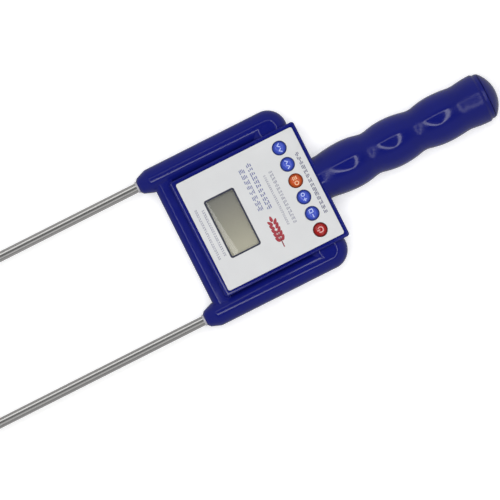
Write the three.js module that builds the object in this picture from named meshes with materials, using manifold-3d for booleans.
// Grain moisture meter with two probe rods, a display head and a battery handle.
//
// Millimetres, +Z up. The meter lies on its back: the head's flat back is on z = 0
// and the display looks up along +Z. +Y points to the probe tips, -Y to the handle's
// end, and +X is the way the label reads. The origin is on the back, under the
// middle of the label.
import * as THREE from 'three';
import { mergeVertices } from 'three/addons/utils/BufferGeometryUtils.js';
import Module from 'manifold-3d';

// ---- driving dimensions ----------------------------------------------------------

const AXIS_Z = 18;            // height of the rails', handle's and rods' centre lines
const PARTING = 0.15;         // half the gap between the front and rear shells
const WALL = 2.2;

const HEAD = { halfX: 44.6, y0: -48, y1: 48.9, top: 31, corner: 2, edge: 0.8 };
const RAIL = { x: 52.2, r: 8.8, boreR: 6.9, boreY0: -25, boreY1: 57, cornerR: 14, endY: -43.7 };
const NOSE = { baseY: 60.5, shoulderY: 67.6, shoulderR: 6.1, tipY: 69.2, tipR: 4.4, boreR: 4.1 };
const CROSS = { outerY: 59.6, innerY: 46, halfHeight: 7, edgeR: 5 };

const LABEL = { halfX: 41.6, y0: -45.2, y1: 45.3, thick: 0.5, recess: 0.9, fit: 0.3, corner: 1.5 };
const WINDOW = { y: 21.7, halfX: 22.25, halfY: 11.75, corner: 1.75, rim: 1.2 };
const LCD = { halfX: 25, halfY: 14.8, z: 24.1, thick: 2.6, connectorHalfX: 22 };
const KEY = { count: 6, pitch: 12.77, y: -31.1, r: 4.95, holeR: 5.25, flangeR: 5.9, rise: 1.3 };
const FLANGE = { z: 26.7, top: 27.6 };
const SWITCH = { half: 3, z: 21.75, top: 25.35, wellR: 1.95, wellZ: 23.2 };
const PLUNGER = { r: 1.7, z: 24.3, top: 26.3 };

const ROD = { r: 3.5, boreR: 2.9, innerY: 37, tipY: 469, taper: 17 };
const FIT = 0.12;              // gap between a rod and what is threaded over it
const BUSH = { y0: 50, collarR: 4.25, collar: 1.1 };
const NUT = { y: 49.7, thick: 6, r: 6.35 };
const TERMINAL = { y0: 42.7, y1: 43.5, r: 6 };
const LEAD_SLOT = { x0: 40, x1: 50, y0: 32, y1: 40, z0: 14, z1: 22 };
const LEAD_WAY_R = 5;          // the passage from the grip's bore into the head

const GRIP = { boreR: 13.2, boreY: -50, rimY: -177.1, rimR: 16.55 };
// The grip's bulges and waists, [radius, y], from its flared end to the head.
const GRIP_WAVES = [
  [17.95, -172.8],
  [16.65, -157.3],
  [17.8, -141.3],
  [15.35, -123.2],
  [17.8, -104.1],
  [15.55, -86.8],
  [17.8, -70],
  [15.9, -49.9],
];
const BULGE_SHARE = 0.82;      // how much of the way from bulge to waist is convex
const CAP = { plugR: 12.7, plugY: -168, baseY: -177.5, baseR: 16.5, edge: 0.4, rise: 7.4 };
const SEAL = { r: 12, y: -172.5, section: 0.95, grooveHalf: 1.2, grooveR: 10.9 };
const SPRING = { y0: -166.4, y1: -161.2, r: 4, turns: 3.5, wireR: 0.4 };
const CAP_CONTACT_R = 11;
const CELL = { r: 7.1, body: 49, nipple: 1, nippleR: 2.7, frontY: -59.4, pitch: 50.5 };
const CELL_CONTACT = { r: 6.5, gap: 0.4, thick: 0.5 };
const SLEEVE = { rIn: 7.6, rOut: 9, y0: -166.5, y1: -58 };
const SLEEVE_RINGS = [-66, -98, -130, -162];
const STRIP = { x0: -9.9, x1: -9.4, y1: -57, halfWidth: 2 };

const BOARD = { halfX: 36, y0: -43.6, y1: 41, z: 20, thick: 1.6 };
const CHIP = { x0: -5, x1: 5, y0: 2, y1: 12, thick: 1.6 };
const CRYSTAL = { x0: 12, x1: 23, y0: 5, y1: 9.6, thick: 3.5 };
const LEAD_R = 0.7;

const SHELL_SCREW = { headR: 2.6, headZ: 0.8, headTop: 3, shankR: 1.1, holeR: 1.6, tipZ: 25.5 };
const GRIP_SCREW_LIFT = 4.6;   // the grip's back is higher than the head's, and so is its screw
const SHELL_SCREWS = [[39.8, 43.8], [-39.8, 43.8], [39.8, -42.9], [-39.8, -42.9], [0, -53.4]];
const BOARD_SCREW = { headR: 2.2, head: 1.35, shankR: 1, above: 5.6 };
const BOARD_SCREWS = [[33, 37.5], [-33, 37.5], [33, -40.3], [-33, -40.3]];

const ROUND = 24;             // facets round a large cylinder
const SMALL = 12;             // facets round a small one

// ---- colours ---------------------------------------------------------------------

const NAVY = { color: 0x1b1d70, roughness: 0.25, metalness: 0 };
const LABEL_GREY = { color: 0xdddcd6, roughness: 0.35, metalness: 0 };
const KEY_BLUE = { color: 0x3a48a8, roughness: 0.2, metalness: 0 };
const KEY_ORANGE = { color: 0xc4532c, roughness: 0.2, metalness: 0 };
const KEY_RED = { color: 0xa52a28, roughness: 0.2, metalness: 0 };
const LCD_GREY = { color: 0x8f8c7a, roughness: 0.15, metalness: 0 };
const CLEAR = { color: 0xe8ecec, roughness: 0.05, metalness: 0 };
const STEEL = { color: 0xb9bbbd, roughness: 0.2, metalness: 1 };
const BRASS = { color: 0xb08d4a, roughness: 0.35, metalness: 1 };
const NYLON = { color: 0xdcdce6, roughness: 0.45, metalness: 0 };
const RUBBER = { color: 0x222224, roughness: 0.8, metalness: 0 };
const BOARD_GREEN = { color: 0x1f5a35, roughness: 0.4, metalness: 0 };
const BLACK_PLASTIC = { color: 0x17181a, roughness: 0.5, metalness: 0 };
const CELL_WRAP = { color: 0x3c4a52, roughness: 0.35, metalness: 0.2 };
const WIRE_RED = { color: 0xb02a24, roughness: 0.5, metalness: 0 };
const WIRE_BLACK = { color: 0x1b1b1d, roughness: 0.5, metalness: 0 };

const KEY_COLOURS = [KEY_BLUE, KEY_BLUE, KEY_ORANGE, KEY_BLUE, KEY_BLUE, KEY_RED];

// ---- joining and cutting ---------------------------------------------------------

const wasm = await Module();
wasm.setup();

/** A closed three.js geometry as a manifold solid. */
function solid(geometry) {
  const bare = geometry.clone();
  bare.deleteAttribute('normal');
  bare.deleteAttribute('uv');
  const merged = mergeVertices(bare, 1e-4);
  const index = merged.index.array;
  const kept = [];
  for (let i = 0; i < index.length; i += 3) {
    const [a, b, c] = [index[i], index[i + 1], index[i + 2]];
    if (a !== b && b !== c && c !== a) kept.push(a, b, c);
  }
  return new wasm.Manifold(new wasm.Mesh({
    numProp: 3,
    vertProperties: new Float32Array(merged.attributes.position.array),
    triVerts: new Uint32Array(kept),
  }));
}

/** A manifold solid as a three.js geometry. */
function geometryOf(body) {
  const mesh = body.getMesh();
  const geometry = new THREE.BufferGeometry();
  geometry.setAttribute('position', new THREE.BufferAttribute(mesh.vertProperties, 3));
  geometry.setIndex(new THREE.BufferAttribute(mesh.triVerts, 1));
  geometry.computeVertexNormals();
  return geometry;
}

const joined = (parts) => parts.reduce((whole, part) => whole.add(part));
const cutBy = (body, tools) => tools.reduce((rest, tool) => rest.subtract(tool), body);

// ---- shapes ----------------------------------------------------------------------

function block(x0, x1, y0, y1, z0, z1) {
  const box = new THREE.BoxGeometry(x1 - x0, y1 - y0, z1 - z0);
  return box.translate((x0 + x1) / 2, (y0 + y1) / 2, (z0 + z1) / 2);
}

/** An upright cylinder from z0 to z1. */
function post(x, y, r, z0, z1, facets = SMALL) {
  const cylinder = new THREE.CylinderGeometry(r, r, z1 - z0, facets);
  return cylinder.rotateX(Math.PI / 2).translate(x, y, (z0 + z1) / 2);
}

/** A cylinder lying along Y on the height of the centre lines. */
function bar(x, r, y0, y1, facets = ROUND) {
  const cylinder = new THREE.CylinderGeometry(r, r, y1 - y0, facets);
  return cylinder.translate(x, (y0 + y1) / 2, AXIS_Z);
}

/** A turned piece on a line along Y: points are [radius, y], from low y to high y. */
function turnedAlongY(x, points, facets = ROUND) {
  const profile = points.map(([r, y]) => new THREE.Vector2(r, y));
  return new THREE.LatheGeometry(profile, facets).translate(x, 0, AXIS_Z);
}

/** A turned piece on an upright line: points are [radius, z], from low z to high z. */
function turnedUpright(x, y, points, facets = SMALL) {
  const profile = points.map(([r, z]) => new THREE.Vector2(r, z));
  return new THREE.LatheGeometry(profile, facets).rotateX(Math.PI / 2).translate(x, y, 0);
}

function roundedRect(x0, x1, y0, y1, r, path = new THREE.Shape()) {
  path.moveTo(x0 + r, y0);
  path.lineTo(x1 - r, y0);
  path.absarc(x1 - r, y0 + r, r, -Math.PI / 2, 0, false);
  path.lineTo(x1, y1 - r);
  path.absarc(x1 - r, y1 - r, r, 0, Math.PI / 2, false);
  path.lineTo(x0 + r, y1);
  path.absarc(x0 + r, y1 - r, r, Math.PI / 2, Math.PI, false);
  path.lineTo(x0, y0 + r);
  path.absarc(x0 + r, y0 + r, r, Math.PI, 1.5 * Math.PI, false);
  return path;
}

/** A flat shape given thickness from z0 to z1, with its edges chamfered by edge. */
function plate(shape, z0, z1, edge = 0) {
  const geometry = new THREE.ExtrudeGeometry(shape, {
    depth: z1 - z0 - 2 * edge,
    bevelEnabled: edge > 0,
    bevelThickness: edge,
    bevelSize: edge,
    bevelOffset: -edge,
    bevelSegments: 1,
    curveSegments: 3,
  });
  return geometry.translate(0, 0, z0 + edge);
}

function circleHole(x, y, r, facets) {
  const hole = new THREE.Path();
  const points = [];
  for (let i = 0; i < facets; i += 1) {
    const angle = (-2 * Math.PI * i) / facets;
    points.push(new THREE.Vector2(x + r * Math.cos(angle), y + r * Math.sin(angle)));
  }
  return hole.setFromPoints(points);
}

/** A round wire through the given points. */
function wire(points, r, steps) {
  const curve = new THREE.CatmullRomCurve3(points.map((p) => new THREE.Vector3(...p)));
  const section = new THREE.Shape();
  section.absarc(0, 0, r, 0, 2 * Math.PI, false);
  return new THREE.ExtrudeGeometry(section, { steps, curveSegments: 3, extrudePath: curve });
}

// ---- housing ---------------------------------------------------------------------

/** The grip's outline as [radius, y]: wide bulges that run into tighter waists. */
function gripOutline() {
  const flareEnd = GRIP.rimR + 0.35;
  const points = [
    [GRIP.rimR, GRIP.rimY],
    [flareEnd, GRIP.rimY + 0.3],
    [flareEnd, GRIP.rimY + 2.5],
    [17.6, GRIP.rimY + 3.5],
  ];
  for (let i = 0; i + 1 < GRIP_WAVES.length; i += 1) {
    const [r0, y0] = GRIP_WAVES[i];
    const [r1, y1] = GRIP_WAVES[i + 1];
    const convex = r0 >= r1 ? BULGE_SHARE : 1 - BULGE_SHARE;
    for (const t of [0, 0.25, 0.5, 0.75]) {
      const way = t <= convex ? (t * t) / convex : 1 - ((1 - t) * (1 - t)) / (1 - convex);
      points.push([r0 + (r1 - r0) * way, y0 + (y1 - y0) * t]);
    }
  }
  const [neckR, neckY] = GRIP_WAVES[GRIP_WAVES.length - 1];
  points.push([neckR, neckY], [neckR, HEAD.y0 + 1]);
  return points;
}

function gripBody() {
  return turnedAlongY(0, [[0, GRIP.rimY], ...gripOutline(), [0, HEAD.y0 + 1]]);
}

function headBody() {
  const outline = roundedRect(-HEAD.halfX, HEAD.halfX, HEAD.y0, HEAD.y1, HEAD.corner);
  return plate(outline, 0, HEAD.top, HEAD.edge);
}

/** The rounded bar that joins the two rails across the probe side. */
function crossBar() {
  const { outerY, innerY, halfHeight, edgeR } = CROSS;
  const section = new THREE.Shape();
  section.moveTo(innerY, -halfHeight);
  section.lineTo(outerY - edgeR, -halfHeight);
  section.absarc(outerY - edgeR, -halfHeight + edgeR, edgeR, -Math.PI / 2, 0, false);
  section.lineTo(outerY, halfHeight - edgeR);
  section.absarc(outerY - edgeR, halfHeight - edgeR, edgeR, 0, Math.PI / 2, false);
  section.lineTo(innerY, halfHeight);
  const length = 2 * RAIL.x;
  const geometry = new THREE.ExtrudeGeometry(section, {
    depth: length,
    bevelEnabled: false,
    curveSegments: 4,
  });
  // The section's x and y become the bar's y and z, and it runs along x.
  geometry.rotateX(Math.PI / 2).rotateZ(Math.PI / 2);
  return geometry.translate(-length / 2, 0, AXIS_Z);
}

/** One rail with its rounded corner at the handle side and its nose at the probe side. */
function railBody(x) {
  const cornerY = RAIL.endY + RAIL.cornerR;
  const cornerX = Math.sign(x) * (RAIL.x + RAIL.r - RAIL.cornerR);
  const nose = turnedAlongY(x, [
    [0, NOSE.baseY - 1],
    [RAIL.r, NOSE.baseY - 1],
    [RAIL.r, NOSE.baseY],
    [NOSE.shoulderR, NOSE.shoulderY],
    [NOSE.tipR, NOSE.tipY],
    [0, NOSE.tipY],
  ]);
  const flat = RAIL.cornerR - RAIL.r;
  const edge = [];
  for (let i = 0; i <= 8; i += 1) {
    const angle = -Math.PI / 2 + (Math.PI * i) / 8;
    edge.push([flat + RAIL.r * Math.cos(angle), AXIS_Z + RAIL.r * Math.sin(angle)]);
  }
  const bottom = [0, AXIS_Z - RAIL.r];
  const top = [0, AXIS_Z + RAIL.r];
  const corner = turnedUpright(cornerX, cornerY, [bottom, ...edge, top], ROUND);
  return [bar(x, RAIL.r, cornerY, NOSE.baseY), corner, nose].map(solid);
}

/** Everything hollowed out of the joined housing. */
function hollows() {
  const cuts = [
    block(-HEAD.halfX + WALL, HEAD.halfX - WALL, HEAD.y0 + WALL, HEAD.y1 - WALL, WALL,
      HEAD.top - LABEL.recess - WALL),
    bar(0, GRIP.boreR, GRIP.rimY - 2, GRIP.boreY),
    bar(0, LEAD_WAY_R, GRIP.boreY - 1, HEAD.y0 + WALL + 1, SMALL),
  ];
  for (const side of [-1, 1]) {
    const x = side * RAIL.x;
    cuts.push(bar(x, RAIL.boreR, RAIL.boreY0, RAIL.boreY1));
    cuts.push(bar(x, NOSE.boreR, RAIL.boreY1 - 1, NOSE.tipY + 2));
    const { x0, x1, y0, y1, z0, z1 } = LEAD_SLOT;
    const [near, far] = side > 0 ? [x0, x1] : [-x1, -x0];
    cuts.push(block(near, far, y0, y1, z0, z1));
  }
  return cuts.map(solid);
}

/** Openings in the face of the head: the label's recess, the keys and the window. */
function faceOpenings() {
  const { halfX, y0, y1, fit, corner, recess } = LABEL;
  const recessOutline = roundedRect(-halfX - fit, halfX + fit, y0 - fit, y1 + fit, corner);
  const cuts = [plate(recessOutline, HEAD.top - recess, HEAD.top + 5)];
  for (const x of keyPlaces()) {
    cuts.push(post(x, KEY.y, KEY.holeR, HEAD.top - 8, HEAD.top + 1, SMALL));
  }
  const window = roundedRect(-WINDOW.halfX, WINDOW.halfX, WINDOW.y - WINDOW.halfY,
    WINDOW.y + WINDOW.halfY, WINDOW.corner);
  cuts.push(plate(window, HEAD.top - 8, HEAD.top + 1));
  return cuts.map(solid);
}

function keyPlaces() {
  const first = (KEY.pitch * (KEY.count - 1)) / 2;
  return Array.from({ length: KEY.count }, (_, i) => first - i * KEY.pitch);
}

/** Rings inside the grip that hold the battery sleeve, notched for the return strip. */
function sleeveRings() {
  const notch = solid(block(-10.3, -8.6, -170, -50, AXIS_Z - 2.6, AXIS_Z + 2.6));
  return SLEEVE_RINGS.map((y) => {
    const disc = solid(bar(0, GRIP.boreR + 0.5, y - 1, y + 1));
    const hole = solid(bar(0, SLEEVE.rOut + 0.2, y - 2, y + 2));
    return disc.subtract(hole).subtract(notch);
  });
}

const OUTER = joined([
  solid(headBody()),
  solid(crossBar()),
  ...railBody(RAIL.x),
  ...railBody(-RAIL.x),
  solid(gripBody()),
]);
const HOUSING = cutBy(OUTER, [...hollows(), ...faceOpenings()]);

function screwLift(y) {
  return y < HEAD.y0 ? GRIP_SCREW_LIFT : 0;
}

function frontShell() {
  const half = solid(block(-80, 80, -200, 100, AXIS_Z + PARTING, 60));
  const ceiling = HEAD.top - LABEL.recess - WALL;
  const bosses = [];
  const pilots = [];
  for (const [x, y] of SHELL_SCREWS) {
    const top = y < HEAD.y0 ? AXIS_Z + GRIP.boreR + 1 : ceiling + 0.5;
    bosses.push(solid(post(x, y, 3, AXIS_Z + PARTING, top)));
    pilots.push(solid(post(x, y, SHELL_SCREW.shankR + 0.25, AXIS_Z - 1, SHELL_SCREW.tipZ + 1)));
  }
  for (const [x, y] of BOARD_SCREWS) {
    const boardTop = BOARD.z + BOARD.thick;
    bosses.push(solid(post(x, y, 2.5, boardTop + 0.15, ceiling + 0.5)));
    pilots.push(solid(post(x, y, 1.2, boardTop - 1, boardTop + 4.6)));
  }
  const rings = joined(sleeveRings()).intersect(half);
  return cutBy(joined([HOUSING.intersect(half), ...bosses, rings]), pilots);
}

function rearShell() {
  const half = solid(block(-80, 80, -200, 100, -5, AXIS_Z - PARTING));
  const bosses = [];
  const holes = [];
  for (const [x, y] of SHELL_SCREWS) {
    const lift = screwLift(y);
    const seat = SHELL_SCREW.headTop + lift;
    bosses.push(solid(post(x, y, 4, seat - 1.6, AXIS_Z - PARTING)));
    holes.push(solid(post(x, y, SHELL_SCREW.holeR, -1, AXIS_Z + 1)));
    holes.push(solid(post(x, y, SHELL_SCREW.headR + 0.3, -1, seat)));
  }
  const rings = joined(sleeveRings()).intersect(half);
  const floorBosses = joined(bosses).intersect(joined([OUTER, solid(bar(0, 14, -60, -48))]));
  return cutBy(joined([HOUSING.intersect(half), floorBosses, rings]), holes);
}

// ---- display and board -----------------------------------------------------------

function labelOverlay() {
  const outline = roundedRect(-LABEL.halfX, LABEL.halfX, LABEL.y0, LABEL.y1, LABEL.corner);
  for (const x of keyPlaces()) outline.holes.push(circleHole(x, KEY.y, KEY.holeR, SMALL));
  const window = roundedRect(-WINDOW.halfX, WINDOW.halfX, WINDOW.y - WINDOW.halfY,
    WINDOW.y + WINDOW.halfY, WINDOW.corner, new THREE.Path());
  outline.holes.push(window);
  const z = HEAD.top - LABEL.recess + 0.2;
  return plate(outline, z, z + LABEL.thick);
}

/** A rectangle of plate round the window's centre, grown or shrunk by a margin. */
function windowPlate(margin, z0, z1, corner = 1) {
  const outline = roundedRect(-WINDOW.halfX - margin, WINDOW.halfX + margin,
    WINDOW.y - WINDOW.halfY - margin, WINDOW.y + WINDOW.halfY + margin, corner);
  return plate(outline, z0, z1);
}

/** The dark frame round the window, with a flange behind the head's face. */
function lcdFrame() {
  const ceiling = HEAD.top - LABEL.recess - WALL;
  const collar = solid(windowPlate(-0.2, ceiling - 0.6, HEAD.top - 0.25, WINDOW.corner - 0.2));
  const flange = solid(windowPlate(3, ceiling - 1.1, ceiling - 0.2));
  const opening = solid(windowPlate(-WINDOW.rim, ceiling - 3, HEAD.top + 1));
  return geometryOf(collar.add(flange).subtract(opening));
}

function mainBoard() {
  const outline = roundedRect(-BOARD.halfX, BOARD.halfX, BOARD.y0, BOARD.y1, 1);
  for (const [x, y] of BOARD_SCREWS) outline.holes.push(circleHole(x, y, 1.4, SMALL));
  return plate(outline, BOARD.z, BOARD.z + BOARD.thick);
}

function lcdGlass() {
  return block(-LCD.halfX, LCD.halfX, WINDOW.y - LCD.halfY, WINDOW.y + LCD.halfY,
    LCD.z, LCD.z + LCD.thick);
}

function lcdConnector(side) {
  const y = WINDOW.y + side * (LCD.halfY - 1.4);
  return block(-LCD.connectorHalfX, LCD.connectorHalfX, y - 1, y + 1,
    BOARD.z + BOARD.thick + 0.15, LCD.z - 0.15);
}

/** A block hung just under the board. */
function underBoard({ x0, x1, y0, y1, thick }) {
  return block(x0, x1, y0, y1, BOARD.z - 0.15 - thick, BOARD.z - 0.15);
}

// ---- keys ------------------------------------------------------------------------

function keyCap(x) {
  const shoulder = HEAD.top - 0.1;
  const dome = [];
  for (let i = 0; i <= 3; i += 1) {
    const angle = (Math.PI / 2) * (i / 3);
    dome.push([KEY.r * Math.cos(angle), shoulder + KEY.rise * Math.sin(angle)]);
  }
  dome[dome.length - 1][0] = 0;
  return turnedUpright(x, KEY.y, [
    [0, PLUNGER.top + 0.1],
    [PLUNGER.r, PLUNGER.top + 0.1],
    [PLUNGER.r, FLANGE.z],
    [KEY.flangeR, FLANGE.z],
    [KEY.flangeR, FLANGE.top],
    [KEY.r, FLANGE.top],
    ...dome,
  ], SMALL);
}

function keySwitch(x) {
  const body = solid(block(x - SWITCH.half, x + SWITCH.half, KEY.y - SWITCH.half,
    KEY.y + SWITCH.half, SWITCH.z, SWITCH.top));
  const well = solid(post(x, KEY.y, SWITCH.wellR, SWITCH.wellZ, SWITCH.top + 1, 12));
  return geometryOf(body.subtract(well));
}

function switchPlunger(x) {
  return post(x, KEY.y, PLUNGER.r, PLUNGER.z, PLUNGER.top, 12);
}

// ---- probes ----------------------------------------------------------------------

function probeRod(x) {
  const { r, boreR, innerY, tipY, taper } = ROD;
  return turnedAlongY(x, [
    [0, tipY - taper - 6],
    [boreR, tipY - taper - 6],
    [boreR, innerY],
    [r, innerY],
    [r, tipY - taper],
    [r * 0.72, tipY - taper * 0.55],
    [r * 0.3, tipY - taper * 0.12],
    [0, tipY],
  ], SMALL);
}

/** Insulating bush: a flange held in the rail, a sleeve through the nose, and a collar. */
function rodBush(x) {
  const inner = ROD.r + FIT;
  const flangeR = RAIL.boreR - 0.3;
  const flangeY = RAIL.boreY1 - 0.3;
  const sleeveR = NOSE.boreR - 0.15;
  const collarY = NOSE.tipY + 0.2;
  return turnedAlongY(x, [
    [inner, BUSH.y0],
    [flangeR, BUSH.y0],
    [flangeR, flangeY],
    [sleeveR, flangeY],
    [sleeveR, collarY],
    [BUSH.collarR, collarY],
    [BUSH.collarR, collarY + BUSH.collar],
    [inner, collarY + BUSH.collar],
    [inner, BUSH.y0],
  ], SMALL);
}

function rodNut(x) {
  const hexagon = new THREE.Shape();
  for (let i = 0; i < 6; i += 1) {
    const angle = (Math.PI / 3) * i;
    const point = [NUT.r * Math.cos(angle), NUT.r * Math.sin(angle)];
    if (i === 0) hexagon.moveTo(...point);
    else hexagon.lineTo(...point);
  }
  hexagon.closePath();
  hexagon.holes.push(circleHole(0, 0, ROD.r + FIT, SMALL));
  const nut = new THREE.ExtrudeGeometry(hexagon, { depth: NUT.thick, bevelEnabled: false });
  return nut.rotateX(Math.PI / 2).translate(x, NUT.y, AXIS_Z);
}

function rodTerminal(x) {
  const inner = ROD.r + FIT;
  const { y0, y1, r } = TERMINAL;
  return turnedAlongY(x, [[inner, y0], [r, y0], [r, y1], [inner, y1], [inner, y0]], SMALL);
}

function probeLead(side) {
  return wire([
    [side * 47.55, 42.4, AXIS_Z],
    [side * 47.5, 39, AXIS_Z],
    [side * 44, 36, AXIS_Z],
    [side * 37, 34.5, 16.5],
    [side * 31, 31, 15.5],
    [side * 28, 27, 17.2],
    [side * 28, 26, 19.8],
  ], LEAD_R, 18);
}

// ---- battery handle --------------------------------------------------------------

function batterySleeve() {
  const { rIn, rOut, y0, y1 } = SLEEVE;
  return turnedAlongY(0, [[rIn, y0], [rOut, y0], [rOut, y1], [rIn, y1], [rIn, y0]], SMALL);
}

function batteryCell(place) {
  const top = CELL.frontY - place * CELL.pitch;
  const shoulder = top - CELL.nipple;
  return turnedAlongY(0, [
    [0, shoulder - CELL.body],
    [CELL.r, shoulder - CELL.body],
    [CELL.r, shoulder],
    [CELL.nippleR, shoulder],
    [CELL.nippleR, top],
    [0, top],
  ], SMALL);
}

function batteryContact() {
  const { r, gap, thick } = CELL_CONTACT;
  return bar(0, r, CELL.frontY + gap, CELL.frontY + gap + thick);
}

/** Strip along the sleeve that brings the cap's contact back to the head. */
function returnStrip() {
  const { x0, x1, y1, halfWidth } = STRIP;
  return block(x0, x1, CAP.plugY + 1.2, y1, AXIS_Z - halfWidth, AXIS_Z + halfWidth);
}

function batteryLead(side, start) {
  return wire([
    start,
    [side * 7.2, -54, AXIS_Z],
    [side * 3.4, -49.4, AXIS_Z],
    [side * 3.4, -46, AXIS_Z],
    [side * 6, -40.5, 15],
    [side * 9.5, -36, 16],
    [side * 10, -35, 19.8],
  ], LEAD_R, 18);
}

class SpringCurve extends THREE.Curve {
  getPoint(t, target = new THREE.Vector3()) {
    const { y0, y1, r, turns } = SPRING;
    const angle = 2 * Math.PI * turns * t;
    return target.set(r * Math.cos(angle), y0 + (y1 - y0) * t, AXIS_Z + r * Math.sin(angle));
  }
}

function batterySpring() {
  const section = new THREE.Shape();
  section.absarc(0, 0, SPRING.wireR, 0, 2 * Math.PI, false);
  return new THREE.ExtrudeGeometry(section, {
    steps: 35,
    curveSegments: 3,
    extrudePath: new SpringCurve(),
  });
}

/** Domed end cap with a plug that goes into the grip, grooved for its seal. */
function endCap() {
  const { plugR, plugY, baseY, baseR, edge, rise } = CAP;
  const apex = baseY - rise;
  const height = rise - edge;
  const domeR = (baseR * baseR + height * height) / (2 * height);
  const spread = Math.asin(baseR / domeR);
  const dome = [];
  for (let i = 0; i <= 6; i += 1) {
    const angle = (spread * i) / 6;
    dome.push([domeR * Math.sin(angle), apex + domeR * (1 - Math.cos(angle))]);
  }
  const { y, grooveHalf, grooveR } = SEAL;
  return turnedAlongY(0, [
    ...dome,
    [baseR, baseY],
    [plugR, baseY],
    [plugR, y - grooveHalf],
    [grooveR, y - grooveHalf],
    [grooveR, y + grooveHalf],
    [plugR, y + grooveHalf],
    [plugR, plugY],
    [0, plugY],
  ]);
}

function capSeal() {
  const ring = new THREE.TorusGeometry(SEAL.r, SEAL.section, 6, 24);
  return ring.rotateX(Math.PI / 2).translate(0, SEAL.y, AXIS_Z);
}

function capContact() {
  return bar(0, CAP_CONTACT_R, CAP.plugY + 0.2, CAP.plugY + 0.7);
}

// ---- fasteners -------------------------------------------------------------------

function shellScrew(x, y) {
  const lift = screwLift(y);
  const { headR, headZ, headTop, shankR, tipZ } = SHELL_SCREW;
  return turnedUpright(x, y, [
    [0, headZ + lift],
    [headR, headZ + lift],
    [headR, headTop + lift - 0.1],
    [shankR, headTop + lift - 0.1],
    [shankR, tipZ - 1],
    [0, tipZ],
  ], 12);
}

function boardScrew(x, y) {
  const { headR, head, shankR, above } = BOARD_SCREW;
  const seat = BOARD.z - 0.15;
  return turnedUpright(x, y, [
    [0, seat - head],
    [headR, seat - head],
    [headR, seat],
    [shankR, seat],
    [shankR, BOARD.z + above - 0.6],
    [0, BOARD.z + above],
  ], 12);
}

// ---- assembly --------------------------------------------------------------------

const meter = new THREE.Group();

function addPart(name, geometry, finish) {
  const mesh = new THREE.Mesh(geometry, new THREE.MeshStandardMaterial(finish));
  mesh.name = name;
  meter.add(mesh);
}

addPart('front_shell', geometryOf(frontShell()), NAVY);
addPart('rear_shell', geometryOf(rearShell()), NAVY);

addPart('label_overlay', labelOverlay(), LABEL_GREY);
addPart('lcd_frame', lcdFrame(), BLACK_PLASTIC);
addPart('lcd_lens', windowPlate(-WINDOW.rim - 0.25, HEAD.top - 1.5, HEAD.top - 0.5), CLEAR);
addPart('lcd_glass', lcdGlass(), LCD_GREY);
addPart('lcd_connector_front', lcdConnector(1), RUBBER);
addPart('lcd_connector_rear', lcdConnector(-1), RUBBER);
addPart('main_board', mainBoard(), BOARD_GREEN);
addPart('microcontroller', underBoard(CHIP), BLACK_PLASTIC);
addPart('clock_crystal', underBoard(CRYSTAL), STEEL);

keyPlaces().forEach((x, i) => {
  addPart(`key_cap_${i + 1}`, keyCap(x), KEY_COLOURS[i]);
  addPart(`switch_plunger_${i + 1}`, switchPlunger(x), BLACK_PLASTIC);
  addPart(`key_switch_${i + 1}`, keySwitch(x), STEEL);
});

for (const [name, side] of [['right', 1], ['left', -1]]) {
  const x = side * RAIL.x;
  addPart(`probe_rod_${name}`, probeRod(x), STEEL);
  addPart(`rod_bush_${name}`, rodBush(x), NYLON);
  addPart(`rod_nut_${name}`, rodNut(x), BRASS);
  addPart(`rod_terminal_${name}`, rodTerminal(x), BRASS);
  addPart(`probe_lead_${name}`, probeLead(side), side > 0 ? WIRE_RED : WIRE_BLACK);
}

addPart('battery_sleeve', batterySleeve(), BLACK_PLASTIC);
addPart('battery_cell_front', batteryCell(0), CELL_WRAP);
addPart('battery_cell_rear', batteryCell(1), CELL_WRAP);
addPart('battery_contact', batteryContact(), BRASS);
addPart('return_strip', returnStrip(), BRASS);
addPart('battery_lead_positive', batteryLead(1, [3, -57.5, AXIS_Z]), WIRE_RED);
addPart('battery_lead_negative', batteryLead(-1, [-9.6, -56.2, AXIS_Z]), WIRE_BLACK);

addPart('end_cap', endCap(), NAVY);
addPart('cap_seal', capSeal(), RUBBER);
addPart('cap_contact', capContact(), BRASS);
addPart('battery_spring', batterySpring(), STEEL);

SHELL_SCREWS.forEach(([x, y], i) => addPart(`shell_screw_${i + 1}`, shellScrew(x, y), STEEL));
BOARD_SCREWS.forEach(([x, y], i) => addPart(`board_screw_${i + 1}`, boardScrew(x, y), STEEL));

export default meter;
